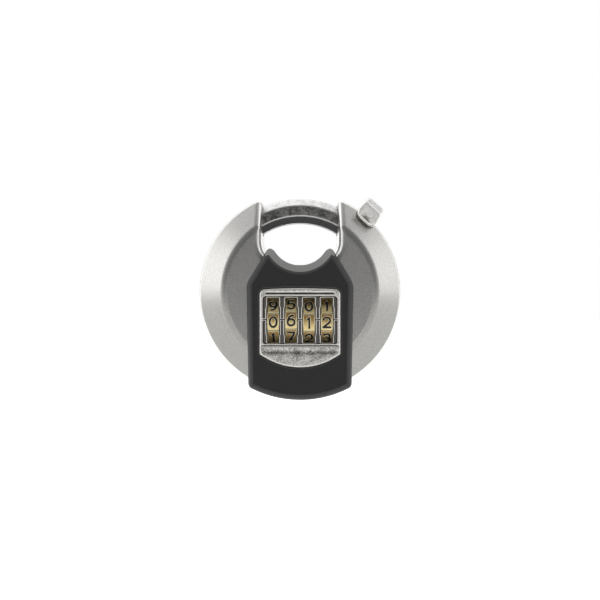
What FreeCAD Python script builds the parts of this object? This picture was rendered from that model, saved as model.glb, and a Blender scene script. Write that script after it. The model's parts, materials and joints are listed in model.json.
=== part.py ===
import FreeCAD, Part
import os
import re

import Sketcher

# A disc padlock with four number dials. Millimetres, +Z up, front towards -Y, +X to the right of a person
# facing it. Everything is drawn about the disc's centre and then lowered, so that the origin of the finished
# padlock lies under the crown of the shackle, where a staple bears and the padlock hangs.

Vector, Rotation, Placement = FreeCAD.Vector, FreeCAD.Rotation, FreeCAD.Placement

SIZES = (
    # shells
    ("disc_radius", 35.0, "outline radius of the two shells"),
    ("disc_thick", 24.0, "thickness over the two flat faces"),
    ("face_radius", 26.5, "radius of the raised flat face"),
    ("rim_band", 10.0, "width of the straight rim over both shells"),
    ("wall", 1.5, "sheet thickness of the shells"),
    ("crease_round", 3.0, "rounding between flat face and slope"),
    # mouth
    ("mouth_half", 12.95, "half width of the mouth at the seam"),
    ("mouth_floor", 9.3, "mouth floor above the disc's centre"),
    ("mouth_round", 8.0, "radius of the mouth's lower corners"),
    ("mouth_draft", 2.9, "draft of the mouth walls in degrees"),
    ("lip_round", 1.7, "rounding of the mouth's edge and of the horns"),
    # shackle
    ("shackle_flats", 8.6, "across flats of the octagonal bar"),
    ("shackle_inset", 2.3, "depth of the bar's outer flat below the rim"),
    ("head_angle", 25.0, "angle of the bar's head end when shut"),
    ("tail_angle", 141.0, "angle of the bar's tail end when shut"),
    ("shackle_travel", 78.0, "angle that the shackle turns to open"),
    ("shackle_gap", 0.25, "clearance round the bar in its channel"),
    ("end_gap", 1.0, "angle left free past each end of the bar"),
    ("notch_gap", 0.3, "clearance of the notch round the nose"),
    # knob
    ("knob_angle", 48.0, "angle of the knob when shut"),
    ("knob_lap", 2.3, "reach of the knob's inner end below the rim"),
    ("knob_proud", 6.0, "height of the knob above the rim"),
    ("knob_wide", 8.6, "width of the knob along the rim"),
    ("knob_deep", 17.4, "depth of the knob from front to back"),
    ("knob_round", 1.7, "rounding of the knob's edges"),
    ("knob_gap", 0.4, "clearance of the knob over the rim"),
    ("neck_wide", 5.2, "width of the knob's neck along the rim"),
    ("neck_deep", 4.6, "depth of the knob's neck in the slot"),
    ("neck_gap", 0.25, "clearance of the neck in the rim slot"),
    ("screw_radius", 1.5, "shank radius of the knob's screw"),
    ("screw_gap", 0.05, "clearance round the screws"),
    ("screw_reach", 3.0, "depth of the knob's screw in the bar"),
    ("head_radius", 2.7, "head radius of the knob's screw"),
    ("head_tall", 2.2, "head height of the knob's screw"),
    ("head_sunk", 0.3, "depth of the screw head below the knob's end"),
    ("socket_flats", 2.5, "across flats of the hexagon socket"),
    ("socket_deep", 1.4, "depth of the hexagon socket"),
    # core blocks
    ("core_gap", 0.15, "clearance between core and shell slopes"),
    ("chamber_gap", 0.35, "clearance round the dials in the core"),
    ("chamber_end", 0.3, "room between the outer flange and its side wall"),
    ("leaf_room", 1.6, "room behind the dials for the leaf spring"),
    ("clamp_radius", 1.5, "shank radius of the core screws"),
    ("clamp_head", 2.8, "head radius of the core screws"),
    ("clamp_socket", 2.0, "across flats of the core screws' sockets"),
    ("clamp_reach", 5.0, "depth of the core screws in front of the seam"),
    ("clamp_side_ring", 21.6, "distance of the side screws from the centre"),
    ("clamp_side_angle", 165.0, "angle of the side screws, left and opposite"),
    ("clamp_foot_ring", 22.6, "distance of the foot screw below the centre"),
    # dials
    ("axle_setback", 5.0, "axle in front of the seam"),
    ("axle_drop", 10.0, "axle below the disc's centre"),
    ("dial_flats", 19.0, "across flats of a dial"),
    ("dial_wide", 4.1, "width of a dial"),
    ("dial_pitch", 6.1, "distance from dial to dial"),
    ("groove_deep", 0.63, "depth of the grooves between a dial's flats"),
    ("groove_slant", 36.0, "slant of a groove's two sides in degrees"),
    ("hub_flats", 8.4, "across flats of a code sleeve's hub"),
    ("hub_gap", 0.04, "clearance between hub and dial"),
    ("flange_radius", 5.1, "radius of a code sleeve's flange"),
    ("flange_thick", 0.85, "thickness of a code sleeve's flange"),
    ("flange_gap", 0.2, "room between a flange and its dial"),
    ("gate_deep", 1.9, "depth of the gate in the flange"),
    ("gate_gap", 0.35, "room each side of a finger in its gate"),
    ("axle_radius", 1.6, "radius of the dial axle"),
    ("axle_gap", 0.04, "running clearance on the axle"),
    ("axle_seat", 2.0, "length of axle held in each side wall"),
    ("axle_end", 1.6, "length of axle past each side wall"),
    ("clip_radius", 3.0, "outer radius of an axle clip"),
    ("clip_thick", 0.6, "thickness of an axle clip"),
    ("clip_sunk", 0.3, "depth of a clip's groove"),
    ("clip_mouth", 1.6, "width of the slot in a clip"),
    ("clip_gap", 0.1, "clearance between a clip and the core's wall"),
    ("clip_room", 0.4, "room round an axle clip in the core"),
    ("lug_gap", 0.2, "clearance of the lugs that shut the axle's seats"),
    # detent leaf
    ("leaf_thick", 0.3, "thickness of the leaf spring"),
    ("leaf_gap", 0.2, "clearance of the leaf behind the dials' corners"),
    ("leaf_lift", 0.1, "clearance of the leaf over the chamber's floor"),
    ("leaf_foot", 3.5, "height of the leaf's foot"),
    ("leaf_slot", 1.4, "gap between two fingers of the leaf"),
    ("leaf_tip", 5.5, "height of the leaf's tips above the axle"),
    ("rivet_radius", 0.8, "radius of a leaf rivet"),
    ("rivet_head", 1.4, "head radius of a leaf rivet"),
    ("rivet_head_tall", 0.5, "head height of a leaf rivet"),
    ("rivet_reach", 1.5, "depth of a leaf rivet in the core"),
    ("rivet_apart", 12.2, "distance between the leaf rivets"),
    # locking bar
    ("fence_stroke", 1.6, "travel of the locking bar each way"),
    ("fence_thick", 2.5, "height of the locking bar's beam"),
    ("fence_deep", 6.4, "depth of the locking bar"),
    ("fence_gap", 0.15, "sliding clearance of the locking bar"),
    ("finger_thick", 0.9, "thickness of a finger"),
    ("finger_deep", 3.0, "depth of a finger"),
    ("finger_gap", 0.25, "clearance of the fingers over the flanges"),
    ("arm_wide", 3.2, "width of the locking bar's arm"),
    ("arm_lap", 2.95, "arm's inner side outside the dial chamber"),
    ("beam_lap", 3.75, "beam's left end outside the dial chamber"),
    ("nose_gap", 0.3, "clearance of the nose under the bar"),
    ("spring_radius", 1.4, "outer radius of a bar spring"),
    ("spring_wire", 0.4, "wire diameter of a bar spring"),
    ("spring_turns", 6.0, "turns of a bar spring"),
    ("spring_deep", 3.2, "depth of a bar spring's bore below the chamber top"),
    ("spring_gap", 0.3, "clearance round a bar spring"),
    # cover
    ("cover_thick", 2.5, "thickness of the cover over the flat face"),
    ("cover_half", 18.3, "half width of the cover at its shoulders"),
    ("cover_foot_half", 17.7, "half width of the cover at its foot"),
    ("shoulder_rise", 2.7, "shoulders above the disc's centre"),
    ("horn_tip", 11.0, "half distance of the cover's horn corners"),
    ("horn_rise", 5.6, "top of the cover's horns above the mouth's floor"),
    ("shoulder_round", 6.0, "rounding of the cover's shoulders"),
    ("tip_round", 1.5, "rounding of the cover's horns"),
    ("heel_round", 1.7, "rounding of the cover's lower corners"),
    ("cover_edge", 1.2, "rounding of the cover's front edge"),
    ("scallop_radius", 10.2, "radius of the cover's scallop"),
    ("scallop_drop", 0.2, "lowest point of the scallop below the mouth's floor"),
    ("bevel_wide", 2.7, "width of the scallop's bevel"),
    ("bevel_deep", 1.8, "depth of the scallop's bevel"),
    ("apron_proud", 2.0, "cover's foot below the rim"),
    ("apron_back", 2.0, "back of the cover's foot in front of the seam"),
    ("cover_gap", 0.05, "clearance between cover and shell slopes"),
    # bezel
    ("bezel_cheek", 2.575, "bezel beside the outer windows"),
    ("bezel_brow", 3.25, "bezel above the windows"),
    ("bezel_chin", 8.35, "lowest point of the bezel below the windows"),
    ("bezel_arc", 23.0, "radius of the bezel's lower edge"),
    ("bezel_thick", 1.2, "thickness of the bezel"),
    ("bezel_proud", 0.45, "bezel in front of the cover"),
    ("bezel_corner", 1.4, "rounding of the bezel's upper corners"),
    ("bezel_gap", 0.1, "clearance round the bezel in its pocket"),
    ("window_wide", 4.15, "width of a dial window"),
    ("window_tall", 15.5, "height of a dial window"),
    ("window_lift", 0.3, "middle of the windows above the axle"),
    ("relief_gap", 0.6, "room in front of the drums where the windows are relieved"),
    ("relief_side", 0.3, "room each side of a drum where its window is relieved"),
    ("opening_gap", 0.4, "room round the dials in cover and shell"),
    ("post_radius", 0.6, "radius of the bezel's posts"),
    ("post_gap", 0.05, "clearance round the posts"),
    ("post_brow_half", 10.0, "half distance between the bezel's upper posts"),
    ("post_chin_half", 7.0, "half distance between the bezel's lower posts"),
    ("post_inset", 0.9, "upper posts inside the bezel's upper edge"),
    ("nut_radius", 1.3, "radius of a push nut"),
    ("nut_thick", 0.5, "thickness of a push nut"),
    ("nut_gap", 0.3, "room round a push nut in the core"),
)

doc = FreeCAD.newDocument("disc_padlock")
sheet = doc.addObject("Spreadsheet::Sheet", "size")
for row, (alias, amount, meaning) in enumerate(SIZES, start=1):
    sheet.set(f"A{row}", meaning)
    sheet.set(f"B{row}", str(amount))
    sheet.setAlias(f"B{row}", alias)
doc.recompute()

ALIAS = re.compile(r"\b(" + "|".join(alias for alias, _, _ in SIZES) + r")\b")

# The planes that outlines are drawn on, as the turn from a sketch's own plane: "radius" has the distance from
# the disc's axis across and Y up, "front" has X across and Z up, and "end" has Y across and Z up.
PLANES = {
    "radius": Rotation(),
    "front": Rotation(Vector(1, 0, 0), 90),
    "end": Rotation(Vector(1, 1, 1), 120),
}
ALONG = {"X": Rotation(Vector(0, 1, 0), 90), "Y": Rotation(Vector(1, 0, 0), -90), "Z": Rotation()}

# Places that several pieces share, written in the sheet's own words.
FACE = "disc_thick / 2"
AXLE_Y = "(0 - axle_setback)"
AXLE_Z = "(0 - axle_drop)"
DIAL_CORNER = "(dial_flats / 2 / cos(18))"
SLOPE = "(atan((disc_thick - rim_band) / 2 / (disc_radius - face_radius)) / 1 deg)"
CHAMBER_TOP = f"({AXLE_Z} + {DIAL_CORNER} + chamber_gap)"
CHAMBER_HALF = "(dial_pitch * 1.5 + dial_wide / 2 + flange_gap * 2 + flange_thick + chamber_end)"
CHAMBER_BACK = f"({AXLE_Y} + {DIAL_CORNER} + leaf_room)"
AXLE_WALL = f"({CHAMBER_HALF} + axle_seat)"
ARM_INNER = f"({CHAMBER_HALF} + arm_lap)"
ARM_OUTER = f"({ARM_INNER} + arm_wide)"
BEAM_LEFT = f"({CHAMBER_HALF} + beam_lap)"
BEAM_BOTTOM = f"({CHAMBER_TOP} + fence_stroke + fence_gap)"
BEAM_TOP = f"({BEAM_BOTTOM} + fence_thick)"
FENCE_FRONT = "(0 - fence_gap - fence_deep)"
RING = "(disc_radius - shackle_inset - shackle_flats / 2)"
BAR_INNER = f"({RING} - shackle_flats / 2)"
BAR_OUTER = "(disc_radius - shackle_inset)"
KNOB_INNER = "(disc_radius - knob_lap)"
KNOB_OUTER = "(disc_radius + knob_proud)"
NOSE_RADIUS = f"({BAR_INNER} - nose_gap)"
COVER_FRONT = f"(0 - {FACE} - cover_thick)"
BEZEL_FRONT = f"({COVER_FRONT} - bezel_proud)"
BEZEL_BACK = f"({BEZEL_FRONT} + bezel_thick)"
WINDOW_TOP = f"({AXLE_Z} + window_lift + window_tall / 2)"
WINDOW_LOW = f"({AXLE_Z} + window_lift - window_tall / 2)"
OPENING_HALF = "(dial_pitch * 1.5 + dial_wide / 2 + opening_gap)"
DRUM_RISE = f"sqrt({DIAL_CORNER} ^ 2 - ({FACE} - wall - axle_setback) ^ 2)"
OPENING_TOP = f"(max({WINDOW_TOP}; {AXLE_Z} + {DRUM_RISE}) + opening_gap)"
OPENING_LOW = f"(min({WINDOW_LOW}; {AXLE_Z} - {DRUM_RISE}) - opening_gap)"
BEZEL_HALF = "(dial_pitch * 1.5 + window_wide / 2 + bezel_cheek)"
BEZEL_TOP = f"({WINDOW_TOP} + bezel_brow)"
BEZEL_LOW = f"({WINDOW_LOW} - bezel_chin)"
BEZEL_ARC_Z = f"({BEZEL_LOW} + bezel_arc)"
HORN_TOP = "(mouth_floor + horn_rise)"
SCALLOP_Z = "(mouth_floor - scallop_drop + scallop_radius)"
APRON = "(disc_radius + apron_proud)"
PAST = "5"  # how far a cutting tool runs past the solid that it cuts


def bound(text):
    """An expression in the sheet's words, as FreeCAD reads it."""
    return ALIAS.sub(r"size.\1", str(text))


def number(text):
    """What an expression comes to."""
    return float(sheet.evalExpression(bound(text)))


def place(made, x="0", y="0", z="0"):
    for axis, text in zip("xyz", (x, y, z)):
        made.setExpression(f"Placement.Base.{axis}", bound(text))
    return made


def sketch_into(made, corners):
    """Draws a closed outline of straight lines with every corner bound to its two distances."""
    spots = [Vector(number(across), number(up), 0) for across, up in corners]
    for here, there in zip(spots, spots[1:] + spots[:1]):
        made.addGeometry(Part.LineSegment(here, there), False)
    count = len(corners)
    for i in range(count):
        made.addConstraint(Sketcher.Constraint("Coincident", i, 2, (i + 1) % count, 1))
    for i, (corner, spot) in enumerate(zip(corners, spots)):
        for kind, text, amount in zip(("DistanceX", "DistanceY"), corner, spot):
            rule = made.addConstraint(Sketcher.Constraint(kind, -1, 1, i, 1, amount))
            made.setExpression(f"Constraints[{rule}]", bound(text))
    return made


def outline(name, plane, corners):
    made = doc.addObject("Sketcher::SketchObject", name)
    made.Placement = Placement(Vector(), PLANES[plane])
    return sketch_into(made, corners)


def extrude(name, base, low, high):
    """A solid from an outline, between two distances along the outline's normal."""
    made = doc.addObject("Part::Extrusion", name)
    made.Base = base
    made.DirMode = "Normal"
    made.Solid = True
    made.setExpression("LengthFwd", bound(high))
    made.setExpression("LengthRev", bound(f"0 - ({low})"))
    return made


def turned(name, base, angle="360"):
    """A solid turned from an outline about the disc's axis, clockwise as seen from the front."""
    made = doc.addObject("Part::Revolution", name)
    made.Source = base
    made.Axis = Vector(0, 1, 0)
    made.Solid = True
    made.setExpression("Angle", bound(angle))
    return made


def box(name, x, y, z):
    """A block between a low and a high place along each axis."""
    made = doc.addObject("Part::Box", name)
    for side, (low, high) in zip(("Length", "Width", "Height"), (x, y, z)):
        made.setExpression(side, bound(f"({high}) - ({low})"))
    return place(made, x[0], y[0], z[0])


def rod(name, along, radius, start, length):
    made = doc.addObject("Part::Cylinder", name)
    made.Placement = Placement(Vector(), ALONG[along])
    made.setExpression("Radius", bound(radius))
    made.setExpression("Height", bound(length))
    return place(made, *start)


def cone(name, along, start_radius, end_radius, start, length):
    made = doc.addObject("Part::Cone", name)
    made.Placement = Placement(Vector(), ALONG[along])
    made.setExpression("Radius1", bound(start_radius))
    made.setExpression("Radius2", bound(end_radius))
    made.setExpression("Height", bound(length))
    return place(made, *start)


def prism(name, along, sides, across_flats, start, length, corner_first=False):
    """A regular prism with a flat, or a corner, square to the prism's own first axis."""
    made = doc.addObject("Part::Prism", name)
    half_turn = 180 / sides
    spin = Rotation(Vector(0, 0, 1), 0 if corner_first else half_turn)
    made.Placement = Placement(Vector(), ALONG[along] * spin)
    made.Polygon = sides
    made.setExpression("Circumradius", bound(f"({across_flats}) / 2 / cos({half_turn})"))
    made.setExpression("Height", bound(length))
    return place(made, *start)


def cut(name, base, *tools):
    for count, tool in enumerate(tools, start=1):
        made = doc.addObject("Part::Cut", name if count == len(tools) else f"{name}_cut{count}")
        made.Base, made.Tool = base, tool
        base = made
    return base


def fuse(name, *pieces):
    made = doc.addObject("Part::MultiFuse", name)
    made.Shapes = list(pieces)
    return made


def fillet(name, base, *rounds):
    """Rounds edges of a solid. Each round is a radius and a test that picks its edges."""
    doc.recompute()
    made = doc.addObject("Part::Fillet", name)
    made.Base = base
    made.Edges = [
        (index, number(radius), number(radius))
        for radius, picks in rounds
        for index, edge in enumerate(base.Shape.Edges, start=1)
        if picks(edge)
    ]
    doc.recompute()
    return made


def runs_past(x, z, slack=0.1):
    """Picks edges that run from front to back past a place in the front view, on either hand."""
    def picks(edge):
        near = all(abs(abs(vertex.X) - x) < slack and abs(vertex.Z - z) < slack for vertex in edge.Vertexes)
        return near and edge.BoundBox.YLength > 0.9 * edge.Length

    return picks


def both_hands(near, far):
    """A stretch along X on the right and its mirror image on the left."""
    return ("right", near, far), ("left", f"0 - ({far})", f"0 - ({near})")


def in_plane(y, slack=1e-3):
    """Picks edges that lie in a plane square to the disc's axis."""
    return lambda edge: abs(edge.BoundBox.YMin - y) < slack and abs(edge.BoundBox.YMax - y) < slack


# ---- shapes that several pieces are cut from ----


def half_disc(name, side, inset, face_inset="0"):
    """One half of the disc, drawn in from the outer surface by an inset and shut at the seam."""
    y = "0 - " if side == "front" else ""
    at_rim = f"{y}(rim_band / 2 - ({inset}) * tan((90 - {SLOPE}) / 2))"
    at_face = f"{y}({FACE} - ({face_inset}))"
    rim = f"disc_radius - ({inset})"
    crease = f"face_radius - ({inset}) / sin({SLOPE}) + ({face_inset}) / tan({SLOPE})"
    # the slope moves in by the inset and the flat face by its own inset, so their crease is where both meet
    profile = outline(
        f"{name}_profile", "radius",
        [("0", "0"), (rim, "0"), (rim, at_rim), (crease, at_face), ("0", at_face)],
    )
    return turned(name, profile)


def mouth(name, grow):
    """The U-shaped gap through the body, narrower at the back by its draft."""
    sections = []
    for end, y in (("front", f"0 - {FACE} - {PAST}"), ("back", f"{FACE} + {PAST}")):
        half = f"(mouth_half + ({grow}) - ({y}) * tan(mouth_draft))"
        low, high = f"mouth_floor - ({grow})", f"disc_radius + {PAST}"
        section = outline(
            f"{name}_{end}", "front", [(f"0 - {half}", low), (half, low), (half, high), (f"0 - {half}", high)]
        )
        sections.append(place(section, y=y))
    made = doc.addObject("Part::Loft", f"{name}_wedge")
    made.Sections, made.Solid, made.Ruled = sections, True, True
    half, low = number(f"mouth_half + ({grow})"), number(f"mouth_floor - ({grow})")
    draft = number(f"({FACE} + {PAST}) * tan(mouth_draft)") + 0.1
    return fillet(name, made, (f"mouth_round + ({grow})", runs_past(half, low, slack=draft)))


def octagon_ring(name, grow, first, last):
    """An octagonal bar round the disc's axis, from one angle clockwise to another."""
    half, side = f"(shackle_flats / 2 + ({grow}))", f"((shackle_flats / 2 + ({grow})) * tan(22.5))"
    corners = [
        (half, side), (side, half), (f"0 - {side}", half), (f"0 - {half}", side),
        (f"0 - {half}", f"0 - {side}"), (f"0 - {side}", f"0 - {half}"),
        (side, f"0 - {half}"), (half, f"0 - {side}"),
    ]
    profile = outline(f"{name}_profile", "radius", [(f"{RING} + {across}", up) for across, up in corners])
    profile.Placement = Placement(Vector(), Rotation(Vector(0, 1, 0), -1))
    profile.setExpression("Placement.Rotation.Angle", bound(f"0 - ({first})"))
    profile.setExpression("Placement.Rotation.Axis.y", "1")
    return turned(name, profile, f"({first}) - ({last})")


# ---- shells ----


def shell(name, side):
    """A drawn half: its face, slope, rim and its half of the mouth's wall."""
    sign = "0 - " if side == "front" else ""
    disc = half_disc(f"{name}_disc", side, "0")
    creased = fillet(f"{name}_creased", disc, ("crease_round", in_plane(number(f"{sign}{FACE}"))))
    mouthed = cut(f"{name}_mouthed", creased, mouth(f"{name}_mouth", "0"))
    reach = number(f"mouth_half - ({sign}{FACE}) * tan(mouth_draft)") + number("wall") / 10
    floor, deep = number("mouth_floor - wall / 10"), number(FACE)

    def lip(edge):
        """Picks the edge between the mouth's wall and the outside, over one horn, the floor and the other."""
        beside = all(abs(vertex.X) < reach and vertex.Z > floor for vertex in edge.Vertexes)
        return beside and not in_plane(0)(edge) and edge.BoundBox.YLength < 0.9 * deep

    lipped = fillet(f"{name}_lipped", mouthed, ("lip_round", lip))
    cavity = cut(
        f"{name}_cavity", half_disc(f"{name}_inside", side, "wall", "wall"), mouth(f"{name}_flange", "wall")
    )
    return lipped, cavity


def knob_slot(name):
    """The slot in the rim that the knob's neck runs in."""
    half, low, high = "(neck_deep / 2 + neck_gap)", f"{BAR_OUTER} - shackle_gap", f"disc_radius + {PAST}"
    profile = outline(
        f"{name}_profile", "radius", [(low, f"0 - {half}"), (high, f"0 - {half}"), (high, half), (low, half)]
    )
    reach = f"(asin((neck_wide / 2 + neck_gap) / {BAR_OUTER}) / 1 deg)"
    profile.Placement = Placement(Vector(), Rotation(Vector(0, 1, 0), -1))
    profile.setExpression("Placement.Rotation.Angle", bound(f"0 - knob_angle - {reach}"))
    profile.setExpression("Placement.Rotation.Axis.y", "1")
    return turned(name, profile, f"shackle_travel + 2 * {reach}")


def channel(name):
    """The way of the bar through the body, from the shut tail to the open head."""
    return octagon_ring(name, "shackle_gap", "tail_angle + end_gap", "head_angle - shackle_travel - end_gap")


def post_places():
    brow, chin = f"{BEZEL_TOP} - post_inset", f"{OPENING_LOW} - nut_radius - nut_gap"
    pairs = (("post_brow_half", brow), ("post_chin_half", chin))
    return [(f"{side}{half}", z) for half, z in pairs for side in ("", "0 - ")]


def post_rods(name, radius, front, back):
    return [
        rod(f"{name}{count}", "Y", radius, (x, front, z), f"({back}) - ({front})")
        for count, (x, z) in enumerate(post_places(), start=1)
    ]


def opening(name, front, back):
    return box(
        name, (f"0 - {OPENING_HALF}", OPENING_HALF), (front, back), (OPENING_LOW, OPENING_TOP)
    )


def front_shell():
    solid, cavity = shell("front_shell", "front")
    outside, inside = f"0 - {FACE} - {PAST}", f"wall * 2 - {FACE}"
    ways = [channel("front_shell_channel"), knob_slot("front_shell_slot")]
    ways.append(opening("front_shell_window", outside, inside))
    holes = post_rods("front_shell_hole", "post_radius + post_gap", outside, inside)
    return cut("front_shell", solid, cavity, *ways, *holes)


def rear_shell():
    solid, cavity = shell("rear_shell", "rear")
    return cut("rear_shell", solid, cavity, channel("rear_shell_channel"), knob_slot("rear_shell_slot"))


# ---- core blocks ----


def clamp_places():
    side = [
        (f"clamp_side_ring * cos({angle})", f"clamp_side_ring * sin({angle})")
        for angle in ("clamp_side_angle", "(clamp_side_angle - 180)")
    ]
    return side + [("0", "0 - clamp_foot_ring")]


CORE_BACK = f"({FACE} - wall)"


def clamp_screws(name, gap):
    """The countersunk screws between the core blocks, or the holes for them with a clearance."""
    made = []
    sink = "(clamp_head - clamp_radius)"
    for count, (x, z) in enumerate(clamp_places(), start=1):
        shank = rod(
            f"{name}{count}_shank", "Y", f"clamp_radius + ({gap})", (x, f"0 - clamp_reach - ({gap})", z),
            f"clamp_reach + ({gap}) + {CORE_BACK}",
        )
        head = cone(
            f"{name}{count}_head", "Y", f"clamp_radius + ({gap})", f"clamp_head + ({gap})",
            (x, f"{CORE_BACK} - {sink}", z), sink,
        )
        made.append(fuse(f"{name}{count}", shank, head))
    return made


def core_body(name, side):
    """A core block before its cavities: the inside of a shell, less the mouth's wall and the channel."""
    block = half_disc(f"{name}_block", side, "wall + core_gap", "wall")
    return cut(
        f"{name}_body", block, mouth(f"{name}_mouth", "wall + core_gap"), channel(f"{name}_channel"),
        knob_slot(f"{name}_slot"),
    )


def chamber(name, front, back):
    """The room that the dials turn in."""
    return box(
        name, (f"0 - {CHAMBER_HALF}", CHAMBER_HALF), (front, back),
        (f"{AXLE_Z} - {DIAL_CORNER} - chamber_gap", CHAMBER_TOP),
    )


def spring_places():
    return f"0 - ({BEAM_LEFT} - spring_radius)", f"{ARM_INNER} + arm_wide / 2"


SPRING_Y = "(0 - fence_gap - fence_deep / 2)"
SPRING_FLOOR = f"({CHAMBER_TOP} - spring_deep)"


def core_front():
    cuts = [chamber("core_front_chamber", f"0 - {FACE}", PAST)]
    past_wall = f"({AXLE_WALL} + clip_thick)"
    seat_half = "(axle_radius + axle_gap)"
    cuts.append(
        rod("core_front_seat", "X", seat_half, (f"0 - {past_wall}", AXLE_Y, AXLE_Z), f"2 * {past_wall}")
    )
    cuts.append(
        box(
            "core_front_seat_slot", (f"0 - {past_wall}", past_wall), (AXLE_Y, PAST),
            (f"{AXLE_Z} - {seat_half}", f"{AXLE_Z} + {seat_half}"),
        )
    )
    clip_half = "(clip_radius + clip_room)"
    for hand, low, high in both_hands(AXLE_WALL, f"{AXLE_WALL} + axle_end + clip_room"):
        cuts.append(
            box(
                f"core_front_clip_{hand}", (low, high), (f"{AXLE_Y} - {clip_half}", PAST),
                (f"{AXLE_Z} - {clip_half}", f"{AXLE_Z} + {clip_half}"),
            )
        )
    front = f"({FENCE_FRONT} - fence_gap)"
    outer = f"{ARM_OUTER} + fence_gap"
    cuts.append(
        box(
            "core_front_beam_way", (f"0 - {BEAM_LEFT} - fence_gap", outer), (front, PAST),
            (CHAMBER_TOP, f"{BEAM_TOP} + fence_stroke + fence_gap"),
        )
    )
    cuts.append(
        box(
            "core_front_arm_way", (f"{ARM_INNER} - fence_gap", outer), (front, PAST),
            (CHAMBER_TOP, f"sqrt({NOSE_RADIUS} ^ 2 - {ARM_INNER} ^ 2) + fence_stroke + fence_gap"),
        )
    )
    for count, x in enumerate(spring_places(), start=1):
        cuts.append(
            rod(
                f"core_front_spring_bore{count}", "Z", "spring_radius + spring_gap",
                (x, SPRING_Y, SPRING_FLOOR), "spring_deep + fence_gap",
            )
        )
    cuts += post_rods(
        "core_front_nut_room", "nut_radius + nut_gap", f"0 - {FACE}",
        f"wall + nut_thick + nut_gap * 2 - {FACE}",
    )
    cuts += clamp_screws("core_front_clamp_hole", "screw_gap")
    return cut("core_front", core_body("core_front", "front"), *cuts)


def core_rear():
    """The rear block, with two lugs that reach forward and shut the axle's seats."""
    body = core_body("core_rear", "rear")
    hollow = chamber("core_rear_chamber", f"0 - {PAST}", CHAMBER_BACK)
    holes = clamp_screws("core_rear_clamp_hole", "screw_gap")
    holes += [
        rod(f"core_rear_rivet_hole{count}", "Y", "rivet_radius", (x, CHAMBER_BACK, z), "rivet_reach")
        for count, (x, z) in enumerate(rivet_places(), start=1)
    ]
    pared = cut("core_rear_pared", body, hollow, *holes)
    half = "(axle_radius - lug_gap)"
    lugs = [
        box(
            f"core_rear_lug_{hand}", (low, high), (f"{AXLE_Y} + axle_radius + axle_gap", "wall"),
            (f"{AXLE_Z} - {half}", f"{AXLE_Z} + {half}"),
        )
        for hand, low, high in both_hands(f"{CHAMBER_HALF} + lug_gap", f"{AXLE_WALL} - lug_gap")
    ]
    return fuse("core_rear", pared, *lugs)


def core_screws():
    sockets = [
        prism(
            f"core_screw_socket{count}", "Y", 6, "clamp_socket", (x, f"{CORE_BACK} - socket_deep", z),
            f"socket_deep + {PAST}",
        )
        for count, (x, z) in enumerate(clamp_places(), start=1)
    ]
    screws = [
        cut(f"core_screw{count}", screw, socket)
        for count, (screw, socket) in enumerate(zip(clamp_screws("core_screw_blank", "0"), sockets), start=1)
    ]
    return group("core_screws", screws)


def group(name, pieces):
    made = doc.addObject("Part::Compound", name)
    made.Links = list(pieces)
    return made


# ---- dials, sleeves and axle ----


def dial(count):
    """A brass drum with ten flats, a groove between each two, and a ten-sided bore for its sleeve."""
    body = doc.addObject("PartDesign::Body", f"dial_{count}")

    def on_end(name, corners):
        made = body.newObject("Sketcher::SketchObject", f"dial_{count}_{name}")
        plane = next(p for p in body.Origin.OriginFeatures if p.Role == "YZ_Plane")
        made.AttachmentSupport, made.MapMode = (plane, ""), "FlatFace"
        return sketch_into(made, corners)

    def ten_sided(apothem):
        return [
            (f"{apothem} / cos(18) * cos({18 + 36 * i})", f"{apothem} / cos(18) * sin({18 + 36 * i})")
            for i in range(10)
        ]

    drum = body.newObject("PartDesign::Pad", f"dial_{count}_drum")
    drum.Profile = on_end("outline", ten_sided("dial_flats / 2"))
    drum.SideType = "Symmetric"
    drum.setExpression("Length", bound("dial_wide"))

    groove = body.newObject("PartDesign::Pocket", f"dial_{count}_groove")
    top, half = f"({DIAL_CORNER} + groove_deep)", "(groove_deep * 2 * tan(groove_slant))"
    vee = [(f"({DIAL_CORNER} - groove_deep)", "0"), (top, f"(0 - {half})"), (top, half)]
    turned_to_corner = [
        (f"{out} * cos(18) - {side} * sin(18)", f"{out} * sin(18) + {side} * cos(18)") for out, side in vee
    ]
    groove.Profile = on_end("groove_outline", turned_to_corner)
    groove.Type, groove.SideType = "ThroughAll", "Symmetric"

    around = body.newObject("PartDesign::PolarPattern", f"dial_{count}_grooves")
    around.Originals = [groove]
    axis = next(p for p in body.Origin.OriginFeatures if p.Role == "X_Axis")
    around.Axis, around.Angle, around.Occurrences = (axis, [""]), 360, 10
    body.Tip = around

    bore = body.newObject("PartDesign::Pocket", f"dial_{count}_bore")
    bore.Profile = on_end("bore_outline", ten_sided("(hub_flats / 2 + hub_gap)"))
    bore.Type, bore.SideType = "ThroughAll", "Symmetric"
    body.Tip = bore
    return body, f"dial_pitch * ({count} - 2.5)"


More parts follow.
